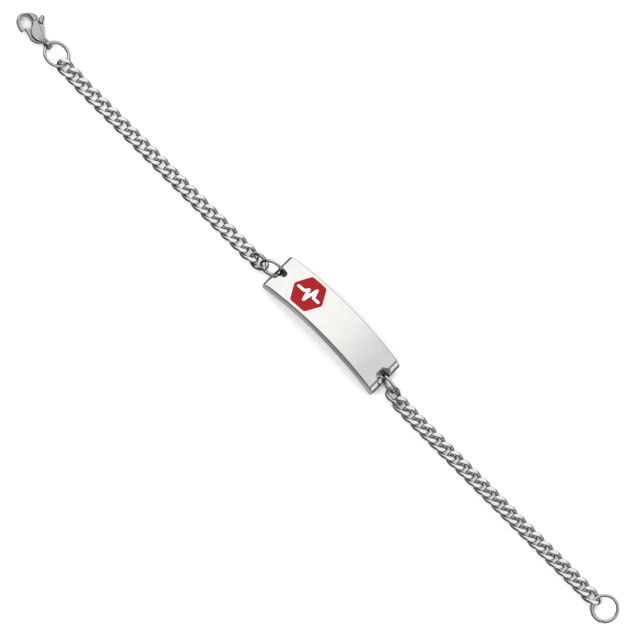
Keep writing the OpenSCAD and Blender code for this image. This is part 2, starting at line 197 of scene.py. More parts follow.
class BRACELET_PG_chain(PropertyGroup):
    """Sizes of the curb chains and the rings."""

    wire: length("Wire", "Diameter of the links' wire", 1.06 * MM)
    half_length: length("Half length", "Half a link, to the middle of its wire", 2.37 * MM)
    half_width: length("Half width", "Half a link's width, to the middle of its wire", 1.52 * MM)
    twist: length("Twist", "Rise and fall of a link's sides", 0.72 * MM)
    thickness: length("Thickness", "Chain between its ground faces", 1.8 * MM)
    left_pitch: length("Left pitch", "Between the links of the left chain", 3.49 * MM)
    left_links: number_of("Left links", "Links in the left chain", 21)
    right_pitch: length("Right pitch", "Between the links of the right chain", 3.235 * MM)
    right_links: number_of("Right links", "Links in the right chain", 23)
    plate_ring: length("Plate rings", "Radius of the rings in the plate", 2.8 * MM)
    plate_ring_wire: length("Plate ring wire", "Wire of the rings in the plate", 0.8 * MM)
    clasp_ring: length("Clasp ring", "Radius of the clasp's ring", 3.35 * MM)
    clasp_ring_wire: length("Clasp ring wire", "Wire of the clasp's ring", 0.8 * MM)
    end_ring: length("Closing ring", "Radius of the closing ring", 3.32 * MM)
    end_ring_wire: length("Closing ring wire", "Wire of the closing ring", 0.86 * MM)
    seam: length("Butt joint", "Gap of the butt joint", 0.1 * MM)
    seam_angle: degrees("Joint direction", "Butt joint seen from above", -54)


class BRACELET_PG_clasp(PropertyGroup):
    """Finish of the cast clasp and its lever."""

    grain: FloatProperty(
        name="Surface cells",
        description="Cell size of the cast surface in mm",
        default=0.06,
        min=0.04,
        max=0.2,
    )
    rounding: IntProperty(
        name="Tumbling", description="Passes that round the cast edges", default=20, min=1, max=40
    )


class BRACELET_PG_finish(PropertyGroup):
    """Colours and gloss of the metal and the enamel."""

    steel: colour("Steel", "Polished steel of the plate", (0.60, 0.595, 0.58))
    rings: colour("Ring steel", "Polished steel of the rings", (0.51, 0.505, 0.495))
    chain: colour("Chain steel", "Steel of the links", (0.56, 0.555, 0.545))
    cast: colour("Cast steel", "Tumbled steel of the clasp", (0.335, 0.33, 0.32))
    # The cut colour is near-black: painted shade for the faces inside the notches and at the butt joint, not
    # the steel's own colour
    cut: colour("Cut steel", "Unpolished steel in the notches and the butt joint", (0.06, 0.059, 0.057))
    plate_gloss: share("Plate roughness", "Roughness of the polished plate", 0.11)
    chain_gloss: share("Chain roughness", "Roughness of the links", 0.13)
    cast_gloss: share("Clasp roughness", "Roughness of the tumbled clasp", 0.16)
    enamel: colour("Enamel", "Red of the badge", (0.25, 0.005, 0.008))
    line: colour("Pulse line", "White of the pulse line", (0.90, 0.90, 0.89))


class BRACELET_PG_stage(PropertyGroup):
    """Camera, floor and soft light."""

    elevation: degrees("Elevation", "Camera above the horizon", 68)
    roll: degrees("Roll", "Turn of the picture", 45.09)
    distance: length("Distance", "Camera to the bracelet", 1.5)
    field: length("Field", "Width of the picture at the bracelet", 162.64 * MM)
    aim: FloatVectorProperty(
        name="Aim",
        description="Middle of the picture",
        default=(1.12 * MM, -0.315 * MM, 1.15 * MM),
        size=3,
        subtype="XYZ",
        unit="LENGTH",
    )
    floor: colour("Floor", "Pale floor", (0.88, 0.88, 0.88))
    dome: strength("Dome", "Strength of the light tent", 1.75)
    softbox: strength("Softbox", "Power of the softbox behind in watts", 1.7)
    front: strength("Front light", "Power of the softbox in front in watts", 7.6)


# ---------------------------------------------------------------- meshes


def grid_quads(rows, columns, wrap_rows=False):
    """Corner numbers of the four-sided faces of a grid of points whose rows are closed loops.

    With wrap_rows the last row joins the first one too.
    """
    i = np.arange(rows if wrap_rows else rows - 1)[:, None] * columns
    j = np.arange(columns)[None, :]
    i2, j2 = (i + columns) % (rows * columns), (j + 1) % columns
    return np.stack([i + j, i2 + j, i2 + j2, i + j2], -1).reshape(-1, 4)


def piece(name, points, faces, body, material, sharp=None, replaced=()):
    """Makes one piece from its points and faces, merges its seams and puts it on the frame."""
    mesh = bpy.data.meshes.new(name)
    mesh.from_pydata(np.asarray(points).reshape(-1, 3).tolist(), [], [list(f) for f in faces])
    obj = bpy.data.objects.new(name, mesh)
    bpy.context.scene.collection.objects.link(obj)
    close_up(mesh, MERGE)
    finish_piece(obj, body, material, sharp, replaced)
    return obj


def close_up(mesh, gap):
    """Merges points that lie together and turns all faces outwards."""
    work = bmesh.new()
    work.from_mesh(mesh)
    bmesh.ops.remove_doubles(work, verts=work.verts, dist=gap)
    bmesh.ops.recalc_face_normals(work, faces=work.faces)
    work.to_mesh(mesh)
    work.free()


def finish_piece(obj, body, material, sharp=None, replaced=()):
    """Smooth shading up to the given crease angle, then material, slot and place on the frame."""
    obj.data.shade_smooth()
    if sharp is not None:
        obj.data.set_sharp_from_angle(angle=math.radians(sharp))
    obj.data.materials.clear()
    obj.data.materials.append(material)
    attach(obj, body)
    if replaced:
        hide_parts(*replaced)


def face_centres(obj):
    """Centres of a piece's faces, as an array."""
    centres = np.empty(len(obj.data.polygons) * 3, np.float32)
    obj.data.polygons.foreach_get("center", centres)
    return centres.reshape(-1, 3)


def give_faces(obj, chosen, material):
    """Gives the chosen faces of a piece a second material."""
    obj.data.materials.append(material)
    obj.data.polygons.foreach_set("material_index", chosen.astype(np.int32))


def turned(tilt, lean, yaw):
    """Rotation about X, then Y, then Z, in degrees, as an array."""
    turn = Matrix.Rotation(math.radians(yaw), 3, "Z") @ Matrix.Rotation(math.radians(lean), 3, "Y")
    return np.array(turn @ Matrix.Rotation(math.radians(tilt), 3, "X"))


def middle_of(low, high):
    """Middle of a box between two corners, as an array."""
    return np.array([(a + b) / 2 for a, b in zip(low, high)])


def soft_min(a, limit, radius):
    """The smaller of two numbers, rounded over where they cross: half of their sum less the
    root of their squared difference plus the squared radius."""
    return 0.5 * (a + limit - np.sqrt((a - limit) ** 2 + radius**2))


# ---------------------------------------------------------------- identity plate


def arch_numbers(p):
    """Radius of the plate's top, height of its axis and X of its middle."""
    half = p.span / 2
    radius = (half * half + p.rise * p.rise) / (2 * p.rise)
    under = radius - p.thickness
    axis = p.clear - math.sqrt(under**2 - (half - p.buff_under) ** 2)
    low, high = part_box("id_plate")
    return radius, axis, (low[0] + high[0]) / 2


def nose_height(p):
    """Height of the plate's nose: halfway from where the bevel starts to the lower corner."""
    radius, axis, _ = arch_numbers(p)
    return (axis + math.sqrt(radius**2 - (p.span / 2 - p.buff_length) ** 2) + p.clear) / 2


def notch_side(p):
    """The notch's slanting side: its run along the plate and how far it widens on the way."""
    return p.inset + NOTCH_OVER, 0.6 * p.mouth - p.hole / 2


def plate_loop(p, inset, flare):
    """The plate seen from the front, as a loop of points: X and Z arrays.

    The top is an arc of the arch's radius and the underside one of that radius less the
    thickness. At each end a straight bevel falls from the top, a parabola with its corner at
    the plate's end rounds it off to the nose, and a quarter ellipse runs from there to the
    underside. flare lengthens the bevel beside the notch, and inset draws every line in.
    """
    radius, axis, _ = arch_numbers(p)
    half, top, under = p.span / 2, radius - inset, radius - p.thickness + inset
    x_top, x_under = half - p.buff_length, half - p.buff_under
    z_top = axis + np.sqrt(top**2 - x_top**2)
    z_under = axis + np.sqrt(under**2 - x_under**2)
    nose = nose_height(p)
    corner = z_top - p.buff_fall * (z_top - nose)
    x_top -= flare
    z_top = axis + np.sqrt(top**2 - x_top**2)
    start = 1 - p.buff_round / (half - x_top)
    a = np.sin(np.linspace(-1, 1, 97) * np.pi / 2) * x_top
    b = np.sin(np.linspace(1, -1, 81) * np.pi / 2)[1:-1] * x_under
    fall = np.linspace(0, 1, 15)[1:-1] ** 1.7 * start
    t = np.linspace(0, 1, 15)
    u = np.linspace(0, -np.pi / 2, 11)[1:]
    long, drop = half - x_top, corner - z_top
    x_round = (1 - t) ** 2 * (x_top + long * start) + (2 * t * (1 - t) + t * t) * half
    z_round = (1 - t) ** 2 * (z_top + drop * start) + 2 * t * (1 - t) * corner + t * t * nose
    right_x = np.concatenate([x_top + long * fall, x_round, x_under + p.buff_under * np.cos(u)])
    right_z = np.concatenate([z_top + drop * fall, z_round, nose + (nose - z_under) * np.sin(u)])
    top_z, under_z = axis + np.sqrt(top**2 - a**2), axis + np.sqrt(under**2 - b**2)
    x = np.concatenate([a, right_x, b, -right_x[::-1]])
    z = np.concatenate([top_z, right_z, under_z, right_z[::-1]])
    # The top and both bevels, which meet in a rounded ridge
    over = np.arange(len(a) + len(fall))
    over = np.concatenate([over, len(x) - 1 - np.arange(len(fall))])
    bevel = z_top + drop * (np.abs(x[over]) - x_top) / long
    z[over] = soft_min(axis + np.sqrt(top**2 - x[over] ** 2), bevel, 0.12 * MM)
    return np.clip(x, inset - half, half - inset), z


def plate_reach(p, y):
    """How far the plate reaches from its middle at a distance y from its centre line.

    Up to the hole's radius it ends at the hole's back, then at the slanting side of the
    notch, then at the plate's end, which is drawn in by a quarter circle at the corners.
    """
    half, hole = p.span / 2, p.hole / 2
    at = half - p.inset
    y = np.abs(y)
    back = at - np.sqrt(np.maximum(hole**2 - y**2, 0))
    run, widening = notch_side(p)
    slant = at + (y - hole) * run / widening
    corner = np.maximum(y - (p.width / 2 - p.corner), 0)
    end = half - p.corner + np.sqrt(np.maximum(p.corner**2 - corner**2, 0))
    return np.where(y < hole, back, np.minimum(slant, end))


def plate_surface(p):
    """Points of the plate: its front loop carried across Y, one row for each Y.

    Each loop is cut short where the notch or the corner begins, with a small round edge. The
    bevel at the right end flares out round the notch: beside the hole it starts 0.2 mm
    behind it, and a smooth step over Y brings it back 0.9 mm past the mouth. Over the last
    rows at each side the loop draws in on a quarter circle, which gives the long edges
    their polished radius.
    """
    hole, side, edge = p.hole / 2, p.width / 2, p.edge
    run, widening = notch_side(p)
    slant_end = hole + widening * p.inset / run
    # Rows within the hole's width, along the slanting side, over the flare and to the corner
    rows = np.concatenate(
        [
            hole * np.sin(np.linspace(0, np.pi / 2, 17)),
            np.linspace(hole, slant_end, 9)[1:],
            slant_end + np.array([0.004, 0.03, 0.1, 0.25, 0.4, 0.6, 0.8, 1.0]) * MM,
            np.linspace(slant_end + 1.3 * MM, side - p.corner, 7),
        ]
    )
    turn = np.linspace(0, np.pi / 2, 7)
    corner = side - p.corner + (p.corner - edge) * np.sin(np.linspace(0, 1, 6)[1:] * np.pi / 2)
    y = np.concatenate([rows, corner, side - edge + edge * np.sin(turn[1:])])
    inset = np.concatenate([np.zeros(len(rows) + len(corner)), edge * (1 - np.cos(turn[1:]))])
    y, inset = np.concatenate([-y[:0:-1], y]), np.concatenate([inset[:0:-1], inset])
    flare_end = slant_end + 0.9 * MM
    beside = np.clip((flare_end - np.abs(y)) / (flare_end - hole), 0, 1)
    flare = (p.inset + hole + 0.2 * MM - p.buff_length) * beside**2 * (3 - 2 * beside)
    loops = np.array([plate_loop(p, *pair) for pair in zip(inset, flare)])
    plain = np.array([plate_loop(p, drawn, 0.0) for drawn in inset])
    loops = np.where(loops[:, :1] < 0, plain, loops)
    reach = plate_reach(p, y)[:, None]
    x = np.sign(loops[:, 0]) * soft_min(np.abs(loops[:, 0]), reach, 0.05 * MM)
    return np.stack([x, np.broadcast_to(y[:, None], x.shape), loops[:, 1]], -1)


def bar_surface(centre, half_sizes, power=6.0, rows=13, columns=40):
    """A bar along Y with round edges: a superellipse with that power, carried along Y."""
    t = np.linspace(0, 2 * np.pi, columns, endpoint=False)
    c, s = np.cos(t), np.sin(t)
    x = np.sign(c) * np.abs(c) ** (2 / power) * half_sizes[0]
    z = np.sign(s) * np.abs(s) ** (2 / power) * half_sizes[2]
    y = np.linspace(-half_sizes[1], half_sizes[1], rows)
    ring = np.stack(np.broadcast_arrays(x[None, :], y[:, None], z[None, :]), -1)
    ends = np.zeros((1, columns, 3))
    ends[..., 1] = half_sizes[1]
    return np.concatenate([-ends, ring, ends]) + np.array(centre)


def badge_outline(p, count=240):
    """Hexagon with round corners: six arcs of the corner's radius joined by straight sides."""
    c = p.badge_corner
    a, b = p.badge_length / 2 - c, p.badge_width / 2 - c
    corners = np.array([(a, 0), (a / 2, b), (-a / 2, b), (-a, 0), (-a / 2, -b), (a / 2, -b)])
    step = np.roll(corners, -1, 0) - corners
    normal = np.arctan2(-step[:, 0], step[:, 1])
    before = np.roll(normal, 1)
    swing = (normal - before + np.pi) % (2 * np.pi) - np.pi
    angle = before[:, None] + swing[:, None] * np.linspace(0, 1, 13)[None, :]
    line = (corners[:, None, :] + c * np.stack([np.cos(angle), np.sin(angle)], -1)).reshape(-1, 2)
    line = np.concatenate([line, line[:1]])
    run = np.concatenate([[0], np.cumsum(np.linalg.norm(np.diff(line, axis=0), axis=1))])
    at = np.linspace(0, run[-1], count, endpoint=False)
    return np.stack([np.interp(at, run, line[:, 0]), np.interp(at, run, line[:, 1])], -1)


def enamel_surface(p):
    """Points of the enamel: rows from the middle of its underside round its rim to the
    middle of its top, each the outline made smaller, laid over the arch of the plate.

    The top stands proud and rounds down at the rim by a quarter ellipse, as fired enamel
    does. The rim is 0.06 mm wide and the enamel reaches 0.1 mm into the plate.
    """
    radius, axis, middle = arch_numbers(p)
    centre = middle - p.span / 2 + p.badge_inset
    rim = np.linspace(0, np.pi / 2, 7)
    lap = 0.06 * MM / (p.badge_width / 2)
    below, above = [0.0, 0.5, 0.995], np.linspace(1 - lap, 0, 22)[1:]
    scale = np.concatenate([below, 1 - lap * (1 - np.cos(rim)), above])
    high = p.badge_proud * np.sin(rim)
    high = np.concatenate([np.full(3, -0.1 * MM), high, np.full(21, p.badge_proud)])
    outline = badge_outline(p)
    flat = scale[:, None, None] * outline[None]
    x = flat[..., 0] + centre
    z = axis + np.sqrt((radius + high[:, None]) ** 2 - (x - middle) ** 2)
    return np.stack([x, flat[..., 1], z], -1)


# ---------------------------------------------------------------- chains and rings


def link_surface(c, steps=72, sides=20):
    """Points of one link about its own middle.

    The wire's middle follows an oval whose height is minus the twist times the sine of twice
    the angle, so its sides rise and fall. A circle is carried round it. With n the ground
    power, each height is divided by the n-th root of 1 plus its share of half the chain's
    thickness to the power n, which leaves the ground faces.
    """
    t = (np.arange(steps) * 2 * np.pi / steps)[:, None]
    f = (np.arange(sides) * 2 * np.pi / sides)[None, :, None]
    a, b, h = c.half_length, c.half_width, c.twist
    middle = np.concatenate([a * np.cos(t), b * np.sin(t), -h * np.sin(2 * t)], 1)
    out = np.concatenate([b * np.cos(t), a * np.sin(t), 0 * t], 1)
    along = np.concatenate([-a * np.sin(t), b * np.cos(t), -2 * h * np.cos(2 * t)], 1)
    out /= np.linalg.norm(out, axis=1, keepdims=True)
    along /= np.linalg.norm(along, axis=1, keepdims=True)
    side = np.cross(along, out)
    side /= np.linalg.norm(side, axis=1, keepdims=True)
    points = middle[:, None] + c.wire / 2 * (np.cos(f) * out[:, None] + np.sin(f) * side[:, None])
    z = points[..., 2] / (c.thickness / 2)
    points[..., 2] = c.thickness / 2 * z / (1 + np.abs(z) ** GROUND_POWER) ** (1 / GROUND_POWER)
    return points


def chain_places(ends, links, pitch):
    """Place and lie of each link: the two at either end as given, the rest in an even row."""
    near, far = ends["plate_next"], ends["far_next"]
    way = 1 if far[0] > near[0] else -1
    row = [(near[0] + way * k * pitch / MM, CHAIN_Y, 0.0, 0.0, 0.0) for k in range(1, links - 3)]
    return [ends["plate"], near, *row, far, ends["far"]]


def ring_surface(centre, turn, radius, wire, seam=0.0, seam_at=0.0, steps=120, sides=28):
    """Points of a round ring: a circle of the wire's radius carried round the ring's circle.

    With a seam the circle runs from one side of the gap to the other. Each end is a flat
    disc about half as wide as the wire, which widens over three rows as a rounded chamfer.
    """
    gap = seam / radius / 2
    t = seam_at + np.linspace(gap, 2 * np.pi - gap, steps, endpoint=seam > 0)
    size = np.full(steps, wire / 2)
    if seam:
        run = np.array([0.0, 0.0, 0.06, 0.16, 0.3]) * wire / radius
        t = np.concatenate([t[0] + run, t[4:-4], t[-1] - run[::-1]])
        size = np.full(len(t), wire / 2)
        size[:4] = size[:-5:-1] = np.array([0.0, 0.24, 0.36, 0.45]) * wire
    f = np.arange(sides) * 2 * np.pi / sides
    reach = radius + size[:, None] * np.cos(f)
    t, high = t[:, None], size[:, None] * np.sin(f)
    flat = np.stack([reach * np.cos(t), reach * np.sin(t), high], -1)
    return flat @ turn.T + centre


def angle_towards(turn, direction):
    """Angle on a turned ring of the point that lies in a direction seen from above.

    The cross product of that direction with the point's place is zero there, and of the two
    such points the one whose place agrees with the direction is taken.
    """
    way = np.array([math.cos(direction), math.sin(direction)])
    first, second = turn[:2, 0], turn[:2, 1]
    rise, run = first[0] * way[1] - first[1] * way[0], second[0] * way[1] - second[1] * way[0]
    at = math.atan2(-rise, run)
    if (math.cos(at) * first + math.sin(at) * second) @ way < 0:
        at += math.pi
    return at


# ---------------------------------------------------------------- materials


def new_material(name):
    """An empty node material with its shader, and helpers that add and join nodes."""
    material = bpy.data.materials.new(name)
    material.use_nodes = True
    tree = material.node_tree
    shader = tree.nodes["Principled BSDF"]

    def add(kind, **inputs):
        node = tree.nodes.new(kind)
        for key, value in inputs.items():
            node.inputs[key.replace("_", " ")].default_value = value
        return node

    return material, shader, add, tree.links.new


def steel(name, tint, roughness, scratches, grain, streak=(1.0, 1.0, 1.0)):
    """Polished steel: faint clouding of its tone, hairlines from polishing that change its
    gloss, and a soft waviness of the hand-buffed surface.

    scratches is how strongly the hairlines show in relief, grain how fine they are, and
    streak stretches them along an axis.
    """
    material, shader, add, join = new_material(name)
    place = add("ShaderNodeTexCoord")
    cloud = add("ShaderNodeTexNoise", Scale=420.0, Detail=3.0, Roughness=0.55)
    stretch = add("ShaderNodeMapping", Scale=streak)
    hair = add("ShaderNodeTexNoise", Scale=grain, Detail=4.0, Roughness=0.6)
    wave = add("ShaderNodeTexNoise", Scale=260.0, Detail=1.0)
    tone = add("ShaderNodeValToRGB")
    gloss = add("ShaderNodeMapRange", To_Min=roughness * 0.8, To_Max=roughness * 1.25)
    fine = add("ShaderNodeBump", Strength=scratches, Distance=0.00002)
    broad = add("ShaderNodeBump", Strength=0.12, Distance=0.00002)
    join(place.outputs["Object"], cloud.inputs["Vector"])
    join(place.outputs["Object"], wave.inputs["Vector"])
    join(place.outputs["Object"], stretch.inputs["Vector"])
    join(stretch.outputs["Vector"], hair.inputs["Vector"])
    join(cloud.outputs["Fac"], tone.inputs["Fac"])
    join(hair.outputs["Fac"], gloss.inputs["Value"])
    join(hair.outputs["Fac"], fine.inputs["Height"])
    join(wave.outputs["Fac"], broad.inputs["Height"])
    join(fine.outputs["Normal"], broad.inputs["Normal"])
    tone.color_ramp.elements[0].position = 0.3
    tone.color_ramp.elements[0].color = (*[v * 0.95 for v in tint], 1)
    tone.color_ramp.elements[1].position = 0.7
    tone.color_ramp.elements[1].color = (*tint, 1)
    join(tone.outputs["Color"], shader.inputs["Base Color"])
    join(gloss.outputs["Result"], shader.inputs["Roughness"])
    join(broad.outputs["Normal"], shader.inputs["Normal"])
    shader.inputs["Metallic"].default_value = 1.0
    return material


def painted_shade_steel(look):
    """The rough, unpolished steel of cut and hidden faces, made once; its near-black colour is painted shade
    for the notches and the butt joint.
    """
    made = bpy.data.materials.get("painted_shade_steel")
    return made or steel("painted_shade_steel", look.cut, 0.42, scratches=0.3, grain=6000.0)


def enamel(name, tint, depth, roughness):
    """Fired enamel: colour that deepens in small clouds, a wavy glassy top and a clear coat."""
    material, shader, add, join = new_material(name)
    place = add("ShaderNodeTexCoord")
    cloud = add("ShaderNodeTexNoise", Scale=700.0, Detail=3.0)
    wave = add("ShaderNodeTexNoise", Scale=900.0, Detail=1.0)
    tone = add("ShaderNodeValToRGB")
    swell = add("ShaderNodeBump", Strength=0.15, Distance=0.00004)
    join(place.outputs["Object"], cloud.inputs["Vector"])
    join(place.outputs["Object"], wave.inputs["Vector"])
    join(cloud.outputs["Fac"], tone.inputs["Fac"])
    join(wave.outputs["Fac"], swell.inputs["Height"])
    tone.color_ramp.elements[0].position = 0.3
    tone.color_ramp.elements[0].color = (*[v * depth for v in tint], 1)
    tone.color_ramp.elements[1].position = 0.7
    tone.color_ramp.elements[1].color = (*tint, 1)
    join(tone.outputs["Color"], shader.inputs["Base Color"])
    join(swell.outputs["Normal"], shader.inputs["Normal"])
    shader.inputs["Roughness"].default_value = roughness
    shader.inputs["Specular IOR Level"].default_value = 0.08
    shader.inputs["Coat Weight"].default_value = 0.05
    shader.inputs["Coat Roughness"].default_value = 0.08
    return material


def floor_paper(name, tint):
    """Matt white paper with a barely seen mottle."""
    material, shader, add, join = new_material(name)
    place = add("ShaderNodeTexCoord")
    mottle = add("ShaderNodeTexNoise", Scale=40.0, Detail=2.0)
    tone = add("ShaderNodeValToRGB")
    join(place.outputs["Object"], mottle.inputs["Vector"])
    join(mottle.outputs["Fac"], tone.inputs["Fac"])
    tone.color_ramp.elements[0].color = (*[v * 0.99 for v in tint], 1)
    tone.color_ramp.elements[1].color = (*tint, 1)
    join(tone.outputs["Color"], shader.inputs["Base Color"])
    shader.inputs["Roughness"].default_value = 0.9
    shader.inputs["Specular IOR Level"].default_value = 0.1
    return material


def dress_node(name, material):
    """Gives a node of the frame its material and leaves its shape as it is."""
    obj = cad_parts[name]
    obj.data.materials.clear()
    obj.data.materials.append(material)


# ---------------------------------------------------------------- operators


class BRACELET_OT_plate(Operator):
    """Identity plate with its arch, buffed ends, keyhole notches and bridges"""

    bl_idname = "bracelet.plate"
    bl_label = "Identity plate"

    def execute(self, context):
        p, look = context.scene.bracelet_plate, context.scene.bracelet_finish
        points = plate_surface(p)
        rows, columns = points.shape[:2]
        middle, nose = arch_numbers(p)[2], nose_height(p) - BRIDGE_DROP
        points = points + np.array([middle, 0, 0])
        faces = grid_quads(rows, columns).tolist()
        faces += [list(range(columns)), list(range((rows - 1) * columns, rows * columns))]
        clouds = [points.reshape(-1, 3)]
        bridge = (p.bridge_width / 2, p.mouth / 2 + BRIDGE_ROOT, p.bridge_height / 2)
        for side in (-1, 1):
            x = middle + side * (p.span / 2 - p.bridge_inset - p.bridge_width / 2)
            bar = bar_surface((x, 0, nose), bridge)
            start = sum(len(c) for c in clouds)
            faces += (grid_quads(*bar.shape[:2]) + start).tolist()
            clouds.append(bar.reshape(-1, 3))
        points, streak = np.concatenate(clouds), (0.25, 1.0, 1.0)
        finish = steel("plate_steel", look.steel, look.plate_gloss, 0.10, grain=9000.0, streak=streak)
        obj = piece("plate_polished", points, faces, "bracelet", finish, 40, ["id_plate"])
        # Faces inside the notches, which lie farther out than the notch lets the top reach
        centres = face_centres(obj)
        reach = plate_reach(p, centres[:, 1]) - 0.01 * MM
        inside = (np.abs(centres[:, 0] - middle) > reach) & (np.abs(centres[:, 1]) < p.mouth / 2)
        # These faces get the near-black steel: painted shade inside the notches
        give_faces(obj, inside, painted_shade_steel(look))
        return {"FINISHED"}


class BRACELET_OT_badge(Operator):
    """Red enamel badge with its white pulse line"""

    bl_idname = "bracelet.badge"
    bl_label = "Enamel badge"

    def execute(self, context):
        p, look = context.scene.bracelet_plate, context.scene.bracelet_finish
        points = enamel_surface(p)
        quads = grid_quads(*points.shape[:2])
        red = enamel("badge_enamel", look.enamel, depth=0.86, roughness=0.22)
        piece("enamel_badge", points, quads, "bracelet", red, 50, ["emblem_enamel"])
        white = enamel("line_enamel", look.line, depth=0.96, roughness=0.3)
        dress_node("pulse_line", white)
        return {"FINISHED"}


class BRACELET_OT_chains(Operator):
    """Left and right curb chain of flat-ground links"""

    bl_idname = "bracelet.chains"
    bl_label = "Curb chains"

    def execute(self, context):
        c, look = context.scene.bracelet_chain, context.scene.bracelet_finish
        link = link_surface(c)
        quads = grid_quads(*link.shape[:2], wrap_rows=True)
        link = link.reshape(-1, 3)
        finish = steel("chain_steel", look.chain, look.chain_gloss, scratches=0.12, grain=5000.0)
        for name, node, ends, links, pitch in (
            ("links_left", "chain_left", LEFT_ENDS, c.left_links, c.left_pitch),
            ("links_right", "chain_right", RIGHT_ENDS, c.right_links, c.right_pitch),
        ):
            places = chain_places(ends, links, pitch)
            turns = np.array([turned(roll, lean, 0) for _, _, _, roll, lean in places])
            at = np.array([(x * MM, y * MM, c.thickness / 2 + lift * MM) for x, y, lift, _, _ in places])
            points = np.einsum("nij,pj->npi", turns, link) + at[:, None]
            faces = quads[None] + (np.arange(len(places)) * len(link))[:, None, None]
            piece(name, points, faces.reshape(-1, 4), "bracelet", finish, None, [node])
        return {"FINISHED"}


class BRACELET_OT_rings(Operator):
    """Two rings in the plate, the clasp's ring and the closing ring with its butt joint"""

    bl_idname = "bracelet.rings"
    bl_label = "Rings"

    def execute(self, context):
        c, look = context.scene.bracelet_chain, context.scene.bracelet_finish
        finish = steel("ring_steel", look.rings, look.chain_gloss, scratches=0.10, grain=7000.0)
        for node, radius, wire, seam in (
            ("plate_ring_left", c.plate_ring, c.plate_ring_wire, 0.0),
            ("plate_ring_right", c.plate_ring, c.plate_ring_wire, 0.0),
            ("clasp_ring", c.clasp_ring, c.clasp_ring_wire, 0.0),
            ("end_ring", c.end_ring, c.end_ring_wire, c.seam),
        ):
            low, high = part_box(node)
            centre, turn = middle_of(low, high), turned(*RING_LIES[node])
            at = angle_towards(turn, c.seam_angle)
            points = ring_surface(centre, turn, radius, wire, seam, at)
            quads = grid_quads(*points.shape[:2], wrap_rows=not seam)
            obj = piece(node + "_round", points, quads, "bracelet", finish, 50, [node])
            if seam:
                # Faces near the joint, by their angle round the ring, get the near-black steel: painted
                # shade of the joint
                flat = (face_centres(obj) - centre) @ turn
                off = (np.arctan2(flat[:, 1], flat[:, 0]) - at + np.pi) % (2 * np.pi) - np.pi
                give_faces(obj, np.abs(off) < (seam / 2 + 0.22 * wire) / radius, painted_shade_steel(look))
        return {"FINISHED"}


def crown(mesh, pivot, reach=0.85, drop=0.5):
    """Crowns a flat casting, in millimetres: its top and its underside sink towards the rim.

    With d the distance seen from above to the nearest point of a side wall, each outer face
    sinks by drop * (1 - sqrt(1 - (1 - d / reach) ** 2)) within reach of the wall. Outer means
    beyond half of the casting's half thickness, fully so at nine tenths. Walls are taken from
    the middle of the thickness, where the surface is steep, and at most about 1500 points of
    them. Those within 0.7 mm of the pivot are the pin's hole and don't count.
    """
    count = len(mesh.vertices)
    points, normals = np.empty(count * 3, np.float32), np.empty(count * 3, np.float32)
    mesh.vertices.foreach_get("co", points)
    mesh.vertices.foreach_get("normal", normals)
    points, normals = points.reshape(-1, 3), normals.reshape(-1, 3)
    low, high = points[:, 2].min(), points[:, 2].max()
    middle, half = (low + high) / 2, (high - low) / 2
    wall = points[(np.abs(normals[:, 2]) < 0.25) & (np.abs(points[:, 2] - middle) < 0.3 * half)][:, :2]
    wall = wall[np.linalg.norm(wall - pivot, axis=1) > 0.7]
    wall = wall[:: max(1, len(wall) // 1500)]
    parts = np.array_split(points, 40)
    near = [np.linalg.norm(part[:, None, :2] - wall[None], axis=2).min(1) for part in parts]
    near = np.concatenate(near)
    away = 1 - np.clip(near / reach, 0, 1)
    high_up = (points[:, 2] - middle) / half
    outer = np.clip((np.abs(high_up) - 0.5) / 0.4, 0, 1)
    points[:, 2] -= np.sign(high_up) * outer * drop * (1 - np.sqrt(1 - away**2))
    mesh.vertices.foreach_set("co", points.ravel())
    mesh.update()


def cast_copy(node, name, cell, passes, body, material):
    """A copy of a frame node with its edges rounded as tumbling rounds a casting.

    The copy's loose triangles are merged, its skin is rebuilt in even cells, smoothed in
    the given number of passes and crowned. It is worked out in millimetres and brought back
    to metres.
    """
    low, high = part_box("clasp_pin")
    pivot = middle_of(low, high)[:2] / MM
    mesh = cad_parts[node].data.copy()
    mesh.transform(Matrix.Scale(1 / MM, 4))
    close_up(mesh, MERGE / MM)
    rough = bpy.data.objects.new(name + "_rough", mesh)
    bpy.context.scene.collection.objects.link(rough)
    cells = rough.modifiers.new("cells", "REMESH")
    cells.mode, cells.voxel_size = "VOXEL", cell
    tumble = rough.modifiers.new("tumble", "SMOOTH")
    tumble.factor, tumble.iterations = 0.5, passes
    skin = bpy.data.meshes.new_from_object(rough.evaluated_get(bpy.context.evaluated_depsgraph_get()))
    bpy.data.objects.remove(rough)
    if len(skin.polygons) < 1000:
        raise RuntimeError(name + ": the cast surface came out empty")
    crown(skin, pivot)
    skin.transform(Matrix.Scale(MM, 4))
    skin.name = name
    obj = bpy.data.objects.new(name, skin)
    bpy.context.scene.collection.objects.link(obj)
    finish_piece(obj, body, material, None, [node])


class BRACELET_OT_clasp(Operator):
    """Trigger clasp: tumbled casting, thumb lever and the pin it swings on"""

    bl_idname = "bracelet.clasp"
    bl_label = "Clasp"

    def execute(self, context):
        s, look = context.scene.bracelet_clasp, context.scene.bracelet_finish
        finish = steel("cast_steel", look.cast, look.cast_gloss, scratches=0.15, grain=4000.0)
        cast_copy("clasp_body", "clasp_casting", s.grain, s.rounding, "bracelet", finish)
        cast_copy("clasp_lever", "lever_casting", s.grain, s.rounding, "lever", finish)
        pin = steel("pin_steel", look.cast, 0.3, scratches=0.1, grain=8000.0)
        dress_node("clasp_pin", pin)
        return {"FINISHED"}


